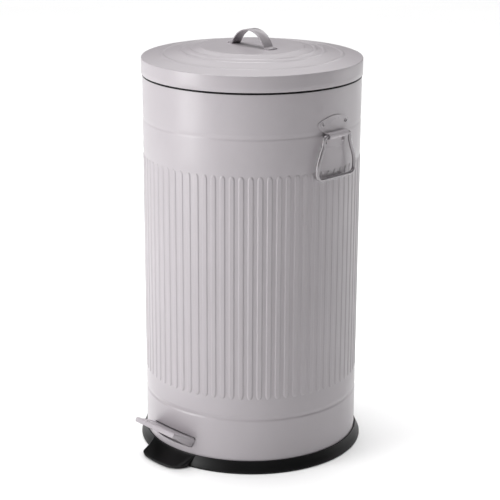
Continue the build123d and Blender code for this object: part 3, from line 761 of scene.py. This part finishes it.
def handle_plate_mesh():
    prof = []          # (x, z, wall weight)
    out = [(0.0, 490.5)] + [(30 * t, 490.5 - 8.5 * t * t) for t in np.linspace(0.08, 1, 16)]
    out += [(30.0, 476.5), (19.0, 469.2)]
    half_out = np.array(out)
    for _ in range(2):
        q = half_out
        new = [q[0]]
        for a, b in zip(q[:-1], q[1:]):
            new += [0.8 * a + 0.2 * b, 0.2 * a + 0.8 * b]
        new.append(q[-1])
        half_out = np.array(new)
    zs, ws = half_out[::-1, 1], half_out[::-1, 0]
    rows = []
    for t in np.linspace(0.02, 1, 14):
        z = 490.5 - 8.5 * t * t
        rows.append((150.7, z, 1.0, float(np.interp(z, zs, ws))))
    for z in np.linspace(481.2, 470.1, 12):
        rows.append((150.7, z, 1.0, float(np.interp(z, zs, ws))))
    for k in range(8):
        a = math.radians(180 + 120.9 * k / 7)
        rows.append((152.2 + 1.5 * math.cos(a), 469.675 + 1.5 * math.sin(a), 1 - smooth01(k / 7), 18.5))
    for k in range(1, 25):
        a = math.radians(120.9 - 241.8 * k / 25)
        rows.append((CX + 3.95 * math.cos(a), CZH + 3.95 * math.sin(a), 0.0, 18.5))
    for k in range(8):
        a = math.radians(59.1 + 120.9 * k / 7)
        rows.append((152.2 + 1.5 * math.cos(a), 460.325 + 1.5 * math.sin(a), smooth01(k / 7), 18.5))
    for z in np.linspace(459.9, 448.0, 16):
        w = 18.5 + 2.5 * float(smooth01((460.6 - z) / 1.8))
        if z < 451.0:
            w -= 3.0 * (1 - math.sqrt(max(0.0, 1 - ((451.0 - z) / 3.0) ** 2)))
        rows.append((150.7, z, 1.0, w))
    g = []
    for x, z, wt, w in rows:
        row = []
        for y in np.linspace(-w, w, 27):
            sag = 150.7 - math.sqrt(150.7 ** 2 - y * y)
            row.append((x - float(wt) * sag, y, z))
        g.append(row)
    return plate(g, 1.15)


def dome(angle, z, r0, rad=2.9, h=1.35, hole=0.0):
    """Domed rivet head on the can's side, with its shank; a blind rivet's head is hollow."""
    pts = [(0.0, -2.6), (1.6, -2.6), (1.6, -0.02), (rad - 0.05, 0.0), (rad, 0.15)]
    for k in range(1, 8):
        a = math.radians(90 * k / 8)
        pts.append((hole + (rad - hole) * math.cos(a), 0.15 + (h - 0.15) * math.sin(a)))
    if hole:
        pts += [(hole, h), (hole - 0.1, h - 0.1), (hole - 0.15, 0.3), (0.0, 0.25)]
    else:
        pts.append((0.0, h))
    v, f = lathe(pts, 24)
    a = math.radians(angle)
    ux, uy = math.cos(a), math.sin(a)
    out = [((r0 + w) * ux - u * uy, (r0 + w) * uy + u * ux, z + t) for u, t, w in v]
    return out, f


RIVETS = [(s * math.degrees(math.asin(h / 150.7)), z) for h, z in ((22.7, 480.0), (17.4, 455.8)) for s in (-1, 1)]
bail_pts = [(0.0, 465.0), (25.6, 465.0), (26.4, 453.0), (36.4, 429.0), (37.0, 407.6), (-37.0, 407.6),
            (-36.4, 429.0), (-26.4, 453.0), (-25.6, 465.0), (0.0, 465.0)]
bail_line = fillet_path([(CX, y, z) for y, z in bail_pts], [4.6, 24, 30, 9, 9, 30, 24, 4.6], 12)
LEAN = math.radians(1.3)
bail_line = [np.array((CX + (p[2] - CZH) * math.sin(LEAN), p[1], CZH + (p[2] - CZH) * math.cos(LEAN))) for p in bail_line]
tidy = [bail_line[0]]
for p in bail_line[1:-1]:
    if np.linalg.norm(p - tidy[-1]) > 0.2:
        tidy.append(p)
plate_mesh = handle_plate_mesh()
bail_mesh = tube(tidy, 2.5, 20, closed=True)
rivet_mesh = join(*[dome(a, z, 151.3, 2.75, 1.6, 1.45) for a, z in RIVETS])


TURN = math.radians(3.5)


def turned(m):
    v, f = m
    c, s = math.cos(TURN), math.sin(TURN)
    return [(p[0] * c - p[1] * s, p[0] * s + p[1] * c, p[2]) for p in [tuple(map(float, q)) for q in v]], f


def mirrored(m):
    v, f = turned(m)
    return [(-x, y, z) for x, y, z in v], [q[::-1] for q in f]


for side, flip in (("right", False), ("left", True)):
    g = mirrored if flip else turned
    make(f"{side}_handle_plate_folded", *g(plate_mesh), paint_small, "can", [f"{side}_handle_plate"], "body_paint", sharp=40)
    make(f"{side}_handle_rivet_heads", *g(rivet_mesh), paint_small, "can", [f"{side}_handle_rivets"], "body_paint", sharp=40)
    make(f"{side}_bail_wire", *g(bail_mesh), wire_paint_and_painted_shade, f"{side}_wire_handle", [f"{side}_bail"], "body_paint", sharp=60)

# ------------------------------------------------------------ other fittings
soften("hinge_bracket", paint_small, "can", 0.4)
soften("lid_hinge_leaf", paint_small, "lid_assembly", 0.4)
soften("hinge_pin_clips", bright, "can", 0.15)
soften("lid_lift_arm", steel, "lid_assembly", 0.3)
soften("pedal_lever", steel, "pedal_assembly", 0.3)
soften("pedal_bracket", steel, "can", 0.3)
soften("rod_guide_lower", steel, "can", 0.25)
soften("rod_guide_upper", steel, "can", 0.25)
soften("axle_clips", bright, "can", 0.15)
soften("inner_bucket", bucket_black, "can", 0.5)
back_rivets = join(*[dome(90 - math.degrees(math.asin(x / 150.8)), z, 151.6) for z in (486.0, 508.0) for x in (-10.0, 10.0)])
make("hinge_bracket_rivet_heads", *back_rivets, bright, "can", ["hinge_bracket_rivets"], "bright_wire", sharp=40)
leaf_rivets = join(*[dome(90 - math.degrees(math.asin(x / 152.0)), 535.0, 153.0) for x in (-8.0, 8.0)])
make("lid_leaf_rivet_heads", *leaf_rivets, bright, "lid_assembly", ["lid_leaf_rivets"], "bright_wire", sharp=40)
for n in ("hinge_pin", "pedal_rivets", "bracket_screws", "pedal_axle"):
    finish_node(n, bright)
for n in ("push_rod", "bucket_bail"):
    finish_node(n, wire_steel)

# ---------------------------------------------------------------- the studio
world = bpy.data.worlds.new("studio")
scene.world = world
world.use_nodes = True
wn = world.node_tree
wn.nodes.clear()
out_w = wn.nodes.new("ShaderNodeOutputWorld")
fill = wn.nodes.new("ShaderNodeBackground")
fill.inputs["Color"].default_value = (1.0, 1.0, 1.0, 1.0)
fill.inputs["Strength"].default_value = 0.015
seen = wn.nodes.new("ShaderNodeBackground")
seen.inputs["Color"].default_value = (1.0, 1.0, 1.0, 1.0)
seen.inputs["Strength"].default_value = 1.0
lp = wn.nodes.new("ShaderNodeLightPath")
mixw = wn.nodes.new("ShaderNodeMixShader")
wn.links.new(lp.outputs["Is Camera Ray"], mixw.inputs["Fac"])
wn.links.new(fill.outputs["Background"], mixw.inputs[1])
wn.links.new(seen.outputs["Background"], mixw.inputs[2])
wn.links.new(mixw.outputs["Shader"], out_w.inputs["Surface"])

floor_mat, fnt, fb = principled("pale_floor")
fco = node(fnt, "ShaderNodeTexCoord").outputs["Object"]
fcl = noise_tex(fnt, fco, 1.5, 2.0, 0.5)
frp = ramp(fnt, fcl.outputs["Fac"], [(0.3, grey(0.935)), (0.7, grey(0.955))])
fnt.links.new(frp.outputs["Color"], fb.inputs["Base Color"])
fb.inputs["Roughness"].default_value = 0.9
fb.inputs["Specular IOR Level"].default_value = 0.1
fm = bpy.data.meshes.new("studio_floor")
fm.from_pydata([(-30, -30, 0), (30, -30, 0), (30, 30, 0), (-30, 30, 0)], [], [(0, 1, 2, 3)])
fm.materials.append(floor_mat)
floor = bpy.data.objects.new("studio_floor", fm)
floor.location.z = -0.0002
scene.collection.objects.link(floor)

AZ = math.radians(47.2)


def studio(phi, dist, height):
    """A point at an angle right of the camera's direction, around the can."""
    a = AZ + math.radians(phi)
    return Vector((dist * math.sin(a), -dist * math.cos(a), height))


def area(name, at, target, size, power, size_y=None):
    d = bpy.data.lights.new(name, "AREA")
    d.shape = "RECTANGLE"
    d.size = size
    d.size_y = size_y or size
    d.energy = power
    o = bpy.data.objects.new(name, d)
    scene.collection.objects.link(o)
    o.location = at
    o.rotation_euler = (Vector(target) - at).to_track_quat("-Z", "Y").to_euler()
    o.visible_camera = False
    return o


def sun(name, phi, elev, strength, angle):
    d = bpy.data.lights.new(name, "SUN")
    d.energy = strength
    d.angle = math.radians(angle)
    o = bpy.data.objects.new(name, d)
    scene.collection.objects.link(o)
    at = studio(phi, math.cos(math.radians(elev)), math.sin(math.radians(elev)))
    o.rotation_euler = (-at).to_track_quat("-Z", "Y").to_euler()
    return o


sun("overhead", -169, 80.5, 2.86, 50)
sun("overhead_front", 35, 76.0, 0.48, 40)
area("key_left", studio(-65, 2.0, 0.95), (0, 0, 0.35), 1.0, 37.5, 1.9)
area("back_high", studio(178, 2.4, 2.0), (0, 0, 0.5), 1.6, 6.5, 1.2)
area("back_right_high", studio(145, 2.4, 2.0), (0, 0, 0.5), 1.4, 9.0, 1.2)
area("right_low", studio(105, 1.8, 0.35), (0, 0, 0.15), 1.2, 2.0, 0.7)

# -------------------------------------------------------------------- camera
D, H, PITCH, ROLL = 2.13524, 0.92516, 0.296393, -0.00425
YAW = 0.00087
cam = bpy.data.cameras.new("photo_view")
cam.sensor_width = 36.0
cam.sensor_fit = "HORIZONTAL"
cam.lens = 1579.36 * 36.0 / 500.0
cam.clip_start, cam.clip_end = 0.05, 200.0
cam_o = bpy.data.objects.new("photo_view", cam)
scene.collection.objects.link(cam_o)
pos = Vector((D * math.sin(AZ), -D * math.cos(AZ), H))
right = Vector((math.cos(AZ + YAW), math.sin(AZ + YAW), 0))
fwd = Vector((-math.sin(AZ + YAW) * math.cos(PITCH), math.cos(AZ + YAW) * math.cos(PITCH), -math.sin(PITCH)))
upv = right.cross(fwd)
cx_ = right * math.cos(ROLL) - upv * math.sin(ROLL)
cy_ = right * math.sin(ROLL) + upv * math.cos(ROLL)
mat = Matrix.Identity(4)
for i in range(3):
    mat[i][0], mat[i][1], mat[i][2], mat[i][3] = cx_[i], cy_[i], -fwd[i], pos[i]
cam_o.matrix_world = mat
scene.camera = cam_o
scene.view_settings.view_transform = "Standard"
scene.view_settings.look = "None"
